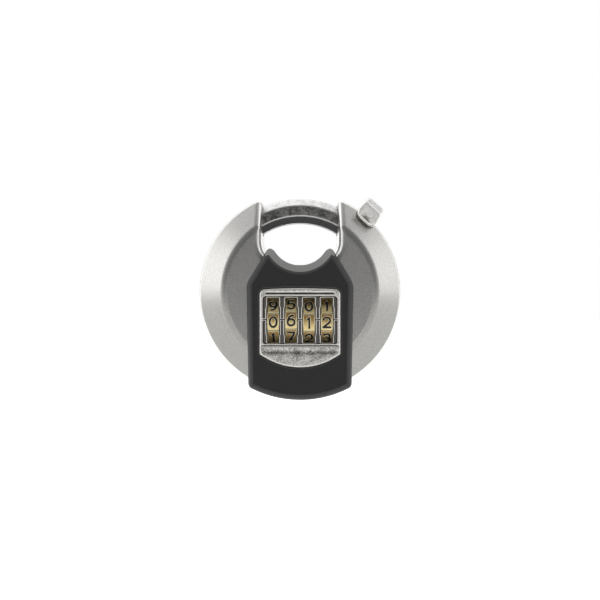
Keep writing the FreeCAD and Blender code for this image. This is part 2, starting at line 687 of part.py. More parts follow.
def code_sleeve(count):
    """A ten-sided hub that keys the dial, with a flange whose gate lets a finger of the locking bar in."""
    name = f"code_sleeve_{count}"
    middle = f"(dial_pitch * ({count} - 2.5))"
    start, long = f"({middle} - dial_wide / 2 - flange_gap)", "(dial_wide + flange_gap * 2 + flange_thick)"
    hub = prism(f"{name}_hub", "X", 10, "hub_flats", (start, AXLE_Y, AXLE_Z), long, corner_first=True)
    flange_at = f"({middle} + dial_wide / 2 + flange_gap)"
    flange = rod(f"{name}_flange", "X", "flange_radius", (flange_at, AXLE_Y, AXLE_Z), "flange_thick")
    bore = rod(f"{name}_bore", "X", "axle_radius + axle_gap", (start, AXLE_Y, AXLE_Z), long)
    gate_front, gate_wide = f"({FENCE_FRONT} - gate_gap)", "(finger_deep + gate_gap * 2)"
    gate = box(
        f"{name}_gate", (f"{flange_at} - flange_gap", f"{flange_at} + flange_thick + flange_gap"),
        (gate_front, f"{gate_front} + {gate_wide}"),
        (f"{AXLE_Z} + flange_radius - gate_deep", f"{AXLE_Z} + flange_radius + {PAST}"),
    )
    return cut(name, fuse(f"{name}_blank", hub, flange), bore, gate)


AXLE_HALF = f"({AXLE_WALL} + axle_end)"
CLIP_AT = f"({AXLE_WALL} + clip_gap)"
CLIP_END = f"({CLIP_AT} + clip_thick)"
CLIP_BORE = "axle_radius - clip_sunk"


def dial_spindle():
    left_end = (f"0 - {AXLE_HALF}", AXLE_Y, AXLE_Z)
    axle = rod("dial_spindle_rod", "X", "axle_radius", left_end, f"2 * {AXLE_HALF}")
    grooves = []
    for hand, start, _ in both_hands(CLIP_AT, CLIP_END):
        at = (start, AXLE_Y, AXLE_Z)
        outer = rod(f"dial_spindle_groove_{hand}", "X", "axle_radius + clip_sunk", at, "clip_thick")
        inner = rod(f"dial_spindle_core_{hand}", "X", CLIP_BORE, at, "clip_thick")
        grooves.append(cut(f"dial_spindle_ring_{hand}", outer, inner))
    return cut("dial_spindle", axle, *grooves)


def spindle_clips():
    clips = []
    for hand, start, end in both_hands(CLIP_AT, CLIP_END):
        at = (start, AXLE_Y, AXLE_Z)
        disc = rod(f"spindle_clip_{hand}_disc", "X", "clip_radius", at, "clip_thick")
        hole = rod(f"spindle_clip_{hand}_hole", "X", f"{CLIP_BORE} + axle_gap", at, "clip_thick")
        slot = box(
            f"spindle_clip_{hand}_slot", (start, end), (AXLE_Y, f"{AXLE_Y} + clip_radius + clip_room"),
            (f"{AXLE_Z} - clip_mouth / 2", f"{AXLE_Z} + clip_mouth / 2"),
        )
        clips.append(cut(f"spindle_clip_{hand}", disc, hole, slot))
    return group("spindle_clips", clips)


# ---- detent leaf ----

LEAF_BOTTOM = f"({AXLE_Z} - {DIAL_CORNER} - chamber_gap + leaf_lift)"


def rivet_places():
    z = f"{LEAF_BOTTOM} + leaf_foot / 2"
    return [("0 - rivet_apart / 2", z), ("rivet_apart / 2", z)]


def detent_spring():
    """A bent leaf whose four fingers click on the dials' flats."""
    crest = f"({AXLE_Y} + {DIAL_CORNER} + leaf_gap)"
    front = f"({CHAMBER_BACK} - leaf_thick)"
    foot_top, tip = f"{LEAF_BOTTOM} + leaf_foot", f"{AXLE_Z} + leaf_tip"
    bend = outline(
        "detent_spring_bend",
        "end",
        [
            (front, LEAF_BOTTOM), (front, foot_top), (crest, AXLE_Z), (f"{crest} + leaf_thick * 2", tip),
            (f"{crest} + leaf_thick * 3", tip), (f"{crest} + leaf_thick", AXLE_Z), (CHAMBER_BACK, foot_top),
            (CHAMBER_BACK, LEAF_BOTTOM),
        ],
    )
    half = "(dial_pitch * 2 - leaf_slot / 2)"
    leaf = extrude("detent_spring_leaf", bend, f"0 - {half}", half)
    slots = [
        box(
            f"detent_spring_slot{count}",
            (f"dial_pitch * ({count} - 2) - leaf_slot / 2", f"dial_pitch * ({count} - 2) + leaf_slot / 2"),
            ("0", FACE),
            (f"{foot_top} + leaf_thick", f"{tip} + leaf_thick"),
        )
        for count in (1, 2, 3)
    ]
    holes = [
        rod(f"detent_spring_hole{count}", "Y", "rivet_radius", (x, front, z), "leaf_thick")
        for count, (x, z) in enumerate(rivet_places(), start=1)
    ]
    return cut("detent_spring", leaf, *slots, *holes)


def leaf_rivets():
    front = f"({CHAMBER_BACK} - leaf_thick)"
    rivets = []
    for count, (x, z) in enumerate(rivet_places(), start=1):
        through = "leaf_thick + rivet_reach"
        shank = rod(f"leaf_rivet{count}_shank", "Y", "rivet_radius", (x, front, z), through)
        at = (x, f"{front} - rivet_head_tall", z)
        head = rod(f"leaf_rivet{count}_head", "Y", "rivet_head", at, "rivet_head_tall")
        rivets.append(fuse(f"leaf_rivet{count}", shank, head))
    return group("leaf_rivets", rivets)


# ---- locking bar ----


def locking_bar():
    """A beam over the dials with four fingers for the gates, and an arm whose nose locks the shackle."""
    depth = (FENCE_FRONT, "0 - fence_gap")
    beam = box("locking_bar_beam", (f"0 - {BEAM_LEFT}", ARM_OUTER), depth, (BEAM_BOTTOM, BEAM_TOP))
    arm_outline = outline(
        "locking_bar_arm_outline",
        "front",
        [
            (ARM_INNER, BEAM_BOTTOM), (ARM_OUTER, BEAM_BOTTOM),
            (ARM_OUTER, f"sqrt({NOSE_RADIUS} ^ 2 - {ARM_OUTER} ^ 2)"),
            (ARM_INNER, f"sqrt({NOSE_RADIUS} ^ 2 - {ARM_INNER} ^ 2)"),
        ],
    )
    arm = extrude("locking_bar_arm", arm_outline, "fence_gap", "fence_gap + fence_deep")
    fingers = []
    for count in (1, 2, 3, 4):
        middle = f"(dial_pitch * ({count} - 2.5) + dial_wide / 2 + flange_gap + flange_thick / 2)"
        fingers.append(
            box(
                f"locking_bar_finger{count}",
                (f"{middle} - finger_thick / 2", f"{middle} + finger_thick / 2"),
                (FENCE_FRONT, f"{FENCE_FRONT} + finger_deep"),
                (f"{AXLE_Z} + flange_radius + finger_gap", BEAM_TOP),
            )
        )
    return fuse("locking_bar", beam, arm, *fingers)


def bar_springs():
    springs = []
    height = f"({BEAM_BOTTOM} - {SPRING_FLOOR})"
    for count, x in enumerate(spring_places(), start=1):
        coil = doc.addObject("Part::Helix", f"bar_spring{count}_path")
        coil.setExpression("Radius", bound("spring_radius - spring_wire / 2"))
        coil.setExpression("Height", bound(f"{height} - spring_wire"))
        coil.setExpression("Pitch", bound(f"({height} - spring_wire) / spring_turns"))
        wire = doc.addObject("Part::Circle", f"bar_spring{count}_section")
        wire.Placement = Placement(Vector(), Rotation(Vector(1, 0, 0), 90))
        wire.setExpression("Radius", bound("spring_wire / 2"))
        wire.setExpression("Placement.Base.x", bound("spring_radius - spring_wire / 2"))
        sweep = doc.addObject("Part::Sweep", f"bar_spring{count}")
        sweep.Sections, sweep.Spine, sweep.Solid, sweep.Frenet = [wire], (coil, ["Edge1"]), True, True
        springs.append(place(sweep, x, SPRING_Y, f"{SPRING_FLOOR} + spring_wire / 2"))
    return group("bar_springs", springs)


# ---- shackle, knob and screw ----


def at_knob(made):
    """Turns a piece drawn along +X to the knob's place on the rim."""
    made.Placement = Placement(Vector(), Rotation(Vector(0, 1, 0), -1))
    made.setExpression("Placement.Rotation.Angle", bound("0 - knob_angle"))
    made.setExpression("Placement.Rotation.Axis.y", "1")
    return made


def shackle():
    bar = octagon_ring("shackle_bar", "0", "tail_angle", "head_angle")
    screw_hole = at_knob(
        group(
            "shackle_screw_hole",
            [
                rod(
                    "shackle_screw_hole_rod", "X", "screw_radius + screw_gap",
                    (f"{BAR_OUTER} - screw_reach - notch_gap", "0", "0"), f"screw_reach + {PAST}",
                )
            ],
        )
    )
    # the notch is the nose's own outline, raised by the stroke and cleared on every side
    inner, outer = f"({ARM_INNER} - notch_gap)", f"({ARM_OUTER} + notch_gap)"
    rise = "fence_stroke + notch_gap"
    notch_outline = outline(
        "shackle_notch_outline",
        "front",
        [
            (inner, BEAM_TOP), (outer, BEAM_TOP), (outer, f"sqrt({BAR_INNER} ^ 2 - {outer} ^ 2) + {rise}"),
            (inner, f"sqrt({BAR_INNER} ^ 2 - {inner} ^ 2) + {rise}"),
        ],
    )
    notch = extrude("shackle_notch", notch_outline, "0 - shackle_flats", "shackle_flats")
    return cut("shackle", bar, screw_hole, notch)


def shackle_knob():
    """The thumb piece: a rounded block grooved to clear the rim, with a neck that reaches the bar."""
    half_deep, half_wide = "knob_deep / 2", "knob_wide / 2"
    block = box(
        "shackle_knob_block", (KNOB_INNER, KNOB_OUTER), (f"0 - {half_deep}", half_deep),
        (f"0 - {half_wide}", half_wide),
    )
    rounded = fillet("shackle_knob_rounded", block, ("knob_round", lambda edge: True))
    saddled = cut(
        "shackle_knob_saddled", rounded, half_disc("shackle_knob_front_way", "front", "0 - knob_gap"),
        half_disc("shackle_knob_rear_way", "rear", "0 - knob_gap"),
    )
    neck = box(
        "shackle_knob_neck", (f"{KNOB_INNER} - knob_gap", "disc_radius + knob_gap + knob_round"),
        ("0 - neck_deep / 2", "neck_deep / 2"), ("0 - neck_wide / 2", "neck_wide / 2"),
    )
    bar_way = rod("shackle_knob_bar_way", "Y", BAR_OUTER, ("0", "0 - knob_deep", "0"), "2 * knob_deep")
    hole = rod("shackle_knob_hole", "X", "screw_radius + screw_gap", ("0", "0", "0"), KNOB_OUTER)
    sink = rod(
        "shackle_knob_sink", "X", "head_radius + screw_gap",
        (f"{KNOB_OUTER} - head_sunk - head_tall", "0", "0"),
        f"head_sunk + head_tall + {PAST}",
    )
    blank = fuse("shackle_knob_blank", saddled, neck)
    return at_knob(group("shackle_knob", [cut("shackle_knob_solid", blank, bar_way, hole, sink)]))


def knob_screw():
    head_start = f"({KNOB_OUTER} - head_sunk - head_tall)"
    shank = rod(
        "knob_screw_shank", "X", "screw_radius", (f"{BAR_OUTER} - screw_reach", "0", "0"),
        f"{head_start} - {BAR_OUTER} + screw_reach",
    )
    head = rod("knob_screw_head", "X", "head_radius", (head_start, "0", "0"), "head_tall")
    socket = prism(
        "knob_screw_socket", "X", 6, "socket_flats", (f"{head_start} + head_tall - socket_deep", "0", "0"),
        f"socket_deep + {PAST}",
    )
    solid = cut("knob_screw_solid", fuse("knob_screw_blank", shank, head), socket)
    return at_knob(group("knob_screw", [solid]))


# ---- cover, bezel and nuts ----


def front_cover():
    """The moulded cover: a plate on the flat face that thickens over the slope and laps the bottom rim."""
    heel_z = f"(0 - sqrt({APRON} ^ 2 - cover_foot_half ^ 2))"
    below = f"(0 - {APRON} - {PAST})"
    taper = f"(cover_half - cover_foot_half) / (shoulder_rise - {heel_z})"
    foot_half = f"(cover_foot_half - {taper} * ({heel_z} - {below}))"
    corners = [
        ("horn_tip", HORN_TOP), ("0 - horn_tip", HORN_TOP), ("0 - cover_half", "shoulder_rise"),
        (f"0 - {foot_half}", below), (foot_half, below), ("cover_half", "shoulder_rise"),
    ]
    front_outline = outline("front_cover_outline", "front", corners)
    plate = extrude("front_cover_plate", front_outline, "apron_back", f"0 - {COVER_FRONT}")
    at_front = ("0", COVER_FRONT, "0")
    round_foot = rod("front_cover_round_foot", "Y", APRON, at_front, f"0 - {COVER_FRONT}")
    blank = doc.addObject("Part::Common", "front_cover_blank")
    blank.Base, blank.Tool = plate, round_foot
    cornered = fillet(
        "front_cover_cornered",
        blank,
        ("tip_round", runs_past(number("horn_tip"), number(HORN_TOP))),
        ("shoulder_round", runs_past(number("cover_half"), number("shoulder_rise"))),
        ("heel_round", runs_past(number("cover_foot_half"), number(heel_z))),
    )
    edged = fillet("front_cover_edged", cornered, ("cover_edge", in_plane(number(COVER_FRONT))))
    outside, inside = f"{COVER_FRONT} - {PAST}", f"wall - {FACE}"
    scallop = rod("front_cover_scallop", "Y", "scallop_radius", ("0", outside, SCALLOP_Z), f"0 - ({outside})")
    bevel = cone(
        "front_cover_bevel", "Y", "scallop_radius + bevel_wide", "scallop_radius",
        ("0", COVER_FRONT, SCALLOP_Z), "bevel_deep",
    )
    window = opening("front_cover_window", outside, inside)
    pocket = bezel_plate("front_cover_pocket", "bezel_gap", outside, BEZEL_BACK)
    holes = post_rods("front_cover_hole", "post_radius + post_gap", outside, inside)
    body_way = half_disc("front_cover_body_way", "front", "0 - cover_gap")
    return cut("front_cover", edged, body_way, scallop, bevel, window, pocket, *holes)


def bezel_plate(name, grow, front, back):
    """The bezel's outline as a plate between two depths: straight sides, and a lower edge in one arc."""
    half, top, low = f"({BEZEL_HALF} + ({grow}))", f"{BEZEL_TOP} + ({grow})", f"{BEZEL_LOW} - {PAST}"
    profile = outline(
        f"{name}_outline", "front", [(half, top), (f"0 - {half}", top), (f"0 - {half}", low), (half, low)]
    )
    slab = extrude(f"{name}_slab", profile, f"0 - ({back})", f"0 - ({front})")
    round_foot = rod(
        f"{name}_round_foot", "Y", f"bezel_arc + ({grow})", ("0", front, BEZEL_ARC_Z), f"({back}) - ({front})"
    )
    blank = doc.addObject("Part::Common", f"{name}_blank")
    blank.Base, blank.Tool = slab, round_foot
    return fillet(name, blank, (f"bezel_corner + ({grow})", runs_past(number(half), number(top))))


def dial_bezel():
    """The framed plate, with four windows that are relieved where the drums come through them."""
    plate = bezel_plate("dial_bezel_plate", "0", BEZEL_FRONT, BEZEL_BACK)
    windows = []
    for count in (1, 2, 3, 4):
        middle = f"dial_pitch * ({count} - 2.5)"
        sides = (f"{middle} - window_wide / 2", f"{middle} + window_wide / 2")
        windows.append(
            box(f"dial_bezel_window{count}", sides, (BEZEL_FRONT, BEZEL_BACK), (WINDOW_LOW, WINDOW_TOP))
        )
        reach = "dial_wide / 2 + relief_side"
        start = (f"{middle} - ({reach})", AXLE_Y, AXLE_Z)
        windows.append(
            rod(f"dial_bezel_relief{count}", "X", f"{DIAL_CORNER} + relief_gap", start, f"2 * ({reach})")
        )
    root, tip = f"{BEZEL_BACK} - bezel_thick / 2", f"wall + nut_thick + nut_gap - {FACE}"
    posts = post_rods("dial_bezel_post", "post_radius", root, tip)
    return fuse("dial_bezel", cut("dial_bezel_face", plate, *windows), *posts)


def bezel_nuts():
    front, back = f"wall - {FACE}", f"wall + nut_thick - {FACE}"
    discs = post_rods("bezel_nut_disc", "nut_radius", front, back)
    holes = post_rods("bezel_nut_hole", "post_radius", front, back)
    nuts = [cut(f"bezel_nut{i}", disc, hole) for i, (disc, hole) in enumerate(zip(discs, holes), start=1)]
    return group("bezel_nuts", nuts)


# ---- the padlock ----

pieces = [
    front_shell(), rear_shell(), core_front(), core_rear(), core_screws(), front_cover(), dial_bezel(),
    bezel_nuts(), dial_spindle(), spindle_clips(), detent_spring(), leaf_rivets(), locking_bar(),
    bar_springs(), shackle(), shackle_knob(), knob_screw(),
]
pieces += [code_sleeve(count) for count in (1, 2, 3, 4)]
for count in (1, 2, 3, 4):
    body, x = dial(count)
    pieces.append(body)
    place(body, x, AXLE_Y, f"{AXLE_Z} - {BAR_INNER}")

for piece in pieces:
    piece.Label = piece.Name
    if piece.TypeId != "PartDesign::Body":
        piece.setExpression("Placement.Base.z", bound(f"0 - {BAR_INNER}"))
doc.recompute()

for made in doc.Objects:
    if {"Invalid", "Error"} & set(made.State):
        raise SystemExit(f"{made.Label} didn't recompute: {made.State}")
for piece in pieces:
    if piece.Shape.isNull() or not piece.Shape.isValid() or not piece.Shape.Solids:
        raise SystemExit(f"{piece.Label} has no valid shape")

os.makedirs("parts", exist_ok=True)
for piece in pieces:
    piece.Shape.exportStep(f"parts/{piece.Label}.step")
    print(f"{piece.Label}: {len(piece.Shape.Solids)} solid(s), {piece.Shape.Volume:.1f} mm3")
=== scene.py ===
import itertools
import json
import math

import bpy
import numpy as np
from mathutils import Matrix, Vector


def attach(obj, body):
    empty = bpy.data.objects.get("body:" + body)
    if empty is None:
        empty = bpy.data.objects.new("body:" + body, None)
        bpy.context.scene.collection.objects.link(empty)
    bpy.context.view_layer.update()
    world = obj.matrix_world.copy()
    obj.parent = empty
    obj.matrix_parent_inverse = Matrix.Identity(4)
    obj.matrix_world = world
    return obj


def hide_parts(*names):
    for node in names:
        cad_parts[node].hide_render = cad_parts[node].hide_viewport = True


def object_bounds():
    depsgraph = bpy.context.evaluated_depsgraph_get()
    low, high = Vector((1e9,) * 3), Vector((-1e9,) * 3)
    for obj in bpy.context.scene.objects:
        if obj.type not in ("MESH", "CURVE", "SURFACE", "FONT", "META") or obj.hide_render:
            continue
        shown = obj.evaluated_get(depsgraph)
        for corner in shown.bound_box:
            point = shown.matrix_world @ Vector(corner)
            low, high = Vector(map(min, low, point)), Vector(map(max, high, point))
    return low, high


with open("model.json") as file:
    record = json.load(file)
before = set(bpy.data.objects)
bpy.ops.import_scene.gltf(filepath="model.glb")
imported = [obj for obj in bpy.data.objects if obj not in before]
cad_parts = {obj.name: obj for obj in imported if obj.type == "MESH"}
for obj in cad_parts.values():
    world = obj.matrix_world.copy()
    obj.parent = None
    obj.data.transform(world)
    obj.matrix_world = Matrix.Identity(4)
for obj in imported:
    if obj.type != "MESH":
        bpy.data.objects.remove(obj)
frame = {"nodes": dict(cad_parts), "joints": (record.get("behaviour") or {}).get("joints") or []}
cad_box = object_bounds()
joints = {joint["name"]: joint for joint in frame["joints"]}

# ---- camera ----
# Square on to the dials and a little below the disc's centre, with the whole padlock small in the middle of
# the frame.

disc_centre = Vector(joints["shackle_turn"]["pos_m"])
camera_distance, camera_drop = 0.395, 0.0028
framed_width = 0.2121
camera_data = bpy.data.cameras.new("camera")
camera_data.sensor_width = 36.0
camera_data.lens = camera_data.sensor_width * camera_distance / framed_width
camera_data.clip_start = 0.01
camera = bpy.data.objects.new("camera", camera_data)
camera.location = disc_centre + Vector((0.0, -camera_distance, -camera_drop))
camera.rotation_euler = (math.radians(90), 0, 0)
bpy.context.collection.objects.link(camera)
bpy.context.scene.camera = camera
bpy.context.scene.view_settings.view_transform = "Standard"

# ---- shells ----
# Two halves drawn from 1.5 mm stainless sheet and bead blasted: a flat face, a slope and a straight rim, with
# the mouth's wall turned in round the shackle. The halves meet at a fine seam in the middle of the rim.

MM = 0.001
disc_radius, face_radius, half_thick, half_rim = 35.0, 26.5, 12.0, 5.0
sheet_thick, seam_gap = 1.5, 0.05
crease_round, rim_round, lip_round = 5.0, 1.1, 2.4
mouth_half, mouth_floor, mouth_round, mouth_draft = 12.95, 9.3, 8.0, math.tan(math.radians(2.9))
slope_turn = math.degrees(math.atan2(half_thick - half_rim, disc_radius - face_radius))
bar_radius, channel_half = 28.4, 4.55
slot_middle, slot_reach, slot_half, slot_deep = 81.0, 44.0, 2.55, 3 * sheet_thick
window_half, window_tall, window_z, window_deep = 11.9, 8.15, -9.7, 3.0


def both(a, b, radius, turn=90.0):
    """Inside both surfaces, with the edge between them rounded to a radius. Distances are negative inside,
    and turn is the angle in degrees that the surface turns through at that edge."""
    soft = radius * (1 - math.cos(math.radians(turn / 2))) / (1 - math.sqrt(0.5))
    corner = np.hypot(np.maximum(a + soft, 0), np.maximum(b + soft, 0))
    return np.minimum(np.maximum(a, b), -soft) + corner


def either(a, b, radius):
    """Inside either surface, with a hollow round where they meet."""
    return -both(-a, -b, radius)


def disc_body(x, y, z):
    """The two shells together before the mouth: face, slope and rim."""
    r, deep = np.hypot(x, z), np.abs(y) - half_thick
    lean = math.radians(slope_turn)
    slope = (r - face_radius) * math.sin(lean) + deep * math.cos(lean)
    front = both(deep, slope, crease_round, slope_turn)
    return both(front, r - disc_radius, rim_round, 90 - slope_turn)


def mouth(x, y, z):
    """The U-shaped gap through the disc, narrower towards the back."""
    across = np.abs(x) - (mouth_half - y * mouth_draft - mouth_round)
    down = mouth_floor + mouth_round - z
    outside = np.hypot(np.maximum(across, 0), np.maximum(down, 0))
    return outside + np.minimum(np.maximum(across, down), 0) - mouth_round


def channel(x, y, z):
    """The octagonal way round the disc's axis that the shackle's bar slides in."""
    across, deep = np.abs(np.hypot(x, z) - bar_radius), np.abs(y)
    return np.maximum(np.maximum(across, deep), (across + deep) * math.sqrt(0.5)) - channel_half


def window_outline(x, z):
    """The one opening behind the bezel's four windows, from the front."""
    return np.maximum(np.abs(x) - window_half, np.abs(z - window_z) - window_tall)


def shell_half(side):
    """The front half where side is 1, with its window, and the rear half where it is -1."""

    def distance(x, y, z):
        skin = both(disc_body(x, y, z), -mouth(x, y, z), lip_round)
        sheet = np.maximum(skin, -(skin + sheet_thick))
        sheet = both(sheet, side * y + seam_gap, 0.3)
        sheet = both(sheet, -channel(x, y, z), 0.25)
        angle = np.degrees(np.arctan2(x, z))
        along = (np.abs(angle - slot_middle) - slot_reach) * math.radians(1) * disc_radius
        slot = np.maximum(np.maximum(np.abs(y) - slot_half, along), disc_radius - slot_deep - np.hypot(x, z))
        sheet = both(sheet, -slot, 0.2)
        if side > 0:
            window = np.maximum(window_outline(x, z), y + half_thick - window_deep)
            sheet = np.maximum(sheet, -window)
        return sheet

    return distance


def cast(name, low, high, cell, distance, **vertex_marks):
    """A closed mesh of the surface where a distance is nought, in millimetres about the disc's centre. Each
    vertex is the middle of the crossings in its cell, moved on to the surface. It keeps how sharply it bulges
    as edge, and what each other mark gives there under that mark's own name, painted light among them."""
    low, high = np.array(low, float), np.array(high, float)
    counts = np.ceil((high - low) / cell).astype(int) + 1
    ticks = [low[axis] + cell * np.arange(counts[axis]) for axis in range(3)]
    values = distance(*np.meshgrid(*ticks, indexing="ij"))
    inside = values < 0
    shape = counts - 1
    steps = list(itertools.product((0, 1), repeat=3))

    def corner(array, step):
        return array[tuple(slice(s, s + n) for s, n in zip(step, shape))]

    filled = sum(corner(inside, step).astype(np.int8) for step in steps)
    mixed = (filled > 0) & (filled < 8)
    cells = np.argwhere(mixed)
    number = np.full(mixed.shape, -1)
    number[mixed] = np.arange(len(cells))
    at_corner = {step: corner(values, step)[mixed] for step in steps}
    total, hits = np.zeros((len(cells), 3)), np.zeros(len(cells))
    for start, end in itertools.combinations(steps, 2):
        if sum(abs(a - b) for a, b in zip(start, end)) != 1:
            continue
        a, b = at_corner[start], at_corner[end]
        crossed = (a < 0) != (b < 0)
        share = np.where(crossed, a / np.where(crossed, a - b, 1), 0)
        spot = np.array(start) + share[:, None] * (np.array(end) - np.array(start))
        total += np.where(crossed[:, None], spot, 0)
        hits += crossed
    points = low + cell * (cells + total / hits[:, None])

    def sample(points):
        """The distance, its slope and how sharply it bulges, at points."""
        reach = cell * 0.7
        here = distance(*points.T)
        slope, bulge = np.zeros_like(points), np.zeros(len(points))
        for axis in range(3):
            step = np.zeros(3)
            step[axis] = reach
            ahead, behind = distance(*(points + step).T), distance(*(points - step).T)
            slope[:, axis] = (ahead - behind) / (2 * reach)
            bulge += (ahead + behind - 2 * here) / reach**2
        return here, slope, bulge

    for _ in range(3):
        here, slope, bulge = sample(points)
        steep = np.maximum((slope**2).sum(1), 0.05)
        move = -(here / steep)[:, None] * slope
        size = np.linalg.norm(move, axis=1)
        points += move * np.minimum(1, 0.4 * cell / np.maximum(size, 1e-9))[:, None]

    quads = []
    for axis in range(3):
        others = [a for a in range(3) if a != axis]
        ahead = np.moveaxis(inside, axis, 0)
        crossed = np.moveaxis(ahead[:-1] != ahead[1:], 0, axis)
        leaving = np.moveaxis(ahead[:-1] & ~ahead[1:], 0, axis)
        span = [slice(1, -1) if a in others else slice(None) for a in range(3)]
        where = np.argwhere(crossed[tuple(span)])
        for a in others:
            where[:, a] += 1
        around = []
        for back, side in ((1, 1), (0, 1), (0, 0), (1, 0)):
            spot = where.copy()
            spot[:, others[0]] -= back
            spot[:, others[1]] -= side
            around.append(number[tuple(spot.T)])
        quad = np.stack(around, 1)
        flip = leaving[tuple(where.T)] if axis != 1 else ~leaving[tuple(where.T)]
        quad[~flip] = quad[~flip][:, ::-1]
        quads.append(quad)
    quads = np.concatenate(quads)

    mesh = bpy.data.meshes.new(name)
    mesh.vertices.add(len(points))
    mesh.vertices.foreach_set("co", (points * MM + np.array(disc_centre)).ravel())
    mesh.loops.add(quads.size)
    mesh.loops.foreach_set("vertex_index", quads.ravel())
    mesh.polygons.add(len(quads))
    mesh.polygons.foreach_set("loop_start", np.arange(0, quads.size, 4))
    mesh.update(calc_edges=True)
    mesh.validate()
    mesh.shade_smooth()
    marks = {"edge": bulge, **{mark_name: give(*points.T) for mark_name, give in vertex_marks.items()}}
    for mark, values in marks.items():
        mesh.attributes.new(mark, "FLOAT", "POINT").data.foreach_set("value", values.astype(np.float32))
    made = bpy.data.objects.new(name, mesh)
    bpy.context.collection.objects.link(made)
    return made


class Wire:
    """One output of a material's nodes. Sums and products of wires add the Math nodes that work them out."""

    def __init__(self, tree, socket=None):
        self.tree, self.socket = tree, socket

    def node(self, kind, settings=None, sockets=None, output=0):
        """Adds a node, sets its settings and then its sockets, and gives one of its outputs."""
        made = self.tree.nodes.new("ShaderNode" + kind)
        for key, value in (settings or {}).items():
            setattr(made, key, value)
        for key, value in (sockets or {}).items():
            if isinstance(value, Wire):
                self.tree.links.new(value.socket, made.inputs[key])
            elif hasattr(value, "__len__") and made.inputs[key].type == "RGBA":
                made.inputs[key].default_value = (*value, 1)
            else:
                made.inputs[key].default_value = value
        return Wire(self.tree, made.outputs[output] if len(made.outputs) else None)

    def maths(self, operation, *values):
        return self.node("Math", {"operation": operation}, dict(enumerate(values)))

    def __add__(self, other):
        return self.maths("ADD", self, other)

    def __sub__(self, other):
        return self.maths("SUBTRACT", self, other)

    def __mul__(self, other):
        return self.maths("MULTIPLY", self, other)

    def __rsub__(self, other):
        return self.maths("SUBTRACT", other, self)

    __radd__, __rmul__ = __add__, __mul__

    def between(self, low, high):
        """Nought below low and one above high, or the other way round, with a soft step."""
        sockets = {"Value": self, "From Min": low, "From Max": high}
        return self.node("MapRange", {"interpolation_type": "SMOOTHSTEP"}, sockets)

    def mix(self, first, second):
        """One colour where this wire is nought and another where it is one."""
        return self.node("Mix", {"data_type": "RGBA"}, {0: self, 6: first, 7: second}, output=2)

    def noise(self, size, detail=2.0, roughness=0.5):
        """Cloudy noise from nought to one, its blobs about that many metres apart."""
        place = self.node("TexCoord", output=3)
        sockets = {"Vector": place, "Scale": 1 / size, "Detail": detail, "Roughness": roughness}
        return self.node("TexNoise", {}, sockets)

    def along(self, axis):
        """The place along one axis, in metres."""
        place = self.node("TexCoord", output=3)
        return self.node("SeparateXYZ", {}, {"Vector": place}, output=axis)

    def attribute(self, name):
        return self.node("Attribute", {"attribute_name": name}, output=2)

    def bump(self, height, distance, strength=1.0):
        return self.node("Bump", {}, {"Height": height, "Distance": distance, "Strength": strength})


def material(name, shader):
    """A material from a function that gets a wire to start from and gives the sockets of its one shader."""
    made = bpy.data.materials.new(name)
    made.use_nodes = True
    made.node_tree.nodes.clear()
    start = Wire(made.node_tree)
    surface = start.node("BsdfPrincipled", {}, shader(start))
    start.node("OutputMaterial", {}, {"Surface": surface})
    return made


def blasted_stainless(start):
    grain = start.noise(0.00034, 2.0, 0.5)
    # The bulging edges are painted lighter: partly wear, partly a painted highlight.
    wear_and_sheen = start.attribute("edge").between(0.45, 1.0)
    colour = grain.between(0.25, 0.75).mix((0.41, 0.405, 0.39), (0.56, 0.555, 0.54))
    # The rounded lip round the mouth is painted lighter: a painted highlight.
    colour = start.attribute("lip").between(0.1, 0.9).mix(colour, (0.62, 0.615, 0.60))
    return {
        "Base Color": wear_and_sheen.mix(colour, (0.66, 0.65, 0.62)),
        "Metallic": 1.0,
        "Roughness": 0.26 + grain * 0.06 - wear_and_sheen * 0.03,
        "Normal": start.bump(grain, 0.000008, 0.5),
    }


stainless = material("blasted_stainless", blasted_stainless)


def dress(piece, finish, body, slot, *nodes):
    """Gives a piece its finish, and puts it in its CAD nodes' place on their body."""
    piece.data.materials.append(finish)
    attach(piece, body)
    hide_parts(*nodes)


for node, name, side in (("front_shell", "shell_front", 1), ("rear_shell", "shell_rear", -1)):
    near, far = sorted((-side * (half_thick + 0.6), side * 0.6))
    span = disc_radius + 0.8
    half = cast(
        name, (-span, near, -span), (span, far, span), 0.33, shell_half(side),
        lip=lambda x, y, z: np.clip(1.1 - mouth(x, y, z) / lip_round, 0, 1),
    )
    dress(half, stainless, "lock_body", "stainless_shell", node)

# ---- shackle ----
# An octagonal bar of hardened steel, bent round the disc's axis and left dark between its worn edges, which
# also carry a painted highlight. Its outer flats are rubbed lighter with a painted highlight, and its inner
# flats carry painted shade. It slides in the shells' channel, and a notch in its inner side takes the locking
# bar's nose.

bar_flats, bar_head, bar_tail = 8.6, 25.0, 141.0
bar_side = bar_flats / 2 * math.tan(math.radians(22.5))
notch_left, notch_right, notch_roof, notch_lean = 15.5, 19.7, 20.6, 1.08


def bar_shape(x, y, z):
    r, angle = np.hypot(x, z), np.degrees(np.arctan2(z, x))
    across, deep = np.abs(r - bar_radius) - bar_flats / 2, np.abs(y) - bar_flats / 2
    corner = (np.abs(r - bar_radius) + np.abs(y)) * math.sqrt(0.5) - bar_flats / 2
    bar = np.maximum(both(across, corner, 0.5, 45), both(deep, corner, 0.5, 45))
    past_middle = np.abs(angle - (bar_head + bar_tail) / 2) - (bar_tail - bar_head) / 2
    bar = both(bar, past_middle * math.radians(1) * bar_radius, 0.8)
    roof = z - notch_roof + (x - notch_left) * notch_lean
    notch = np.maximum(np.maximum(notch_left - x, x - notch_right), roof * 0.68)
    return both(bar, -notch, 0.2)


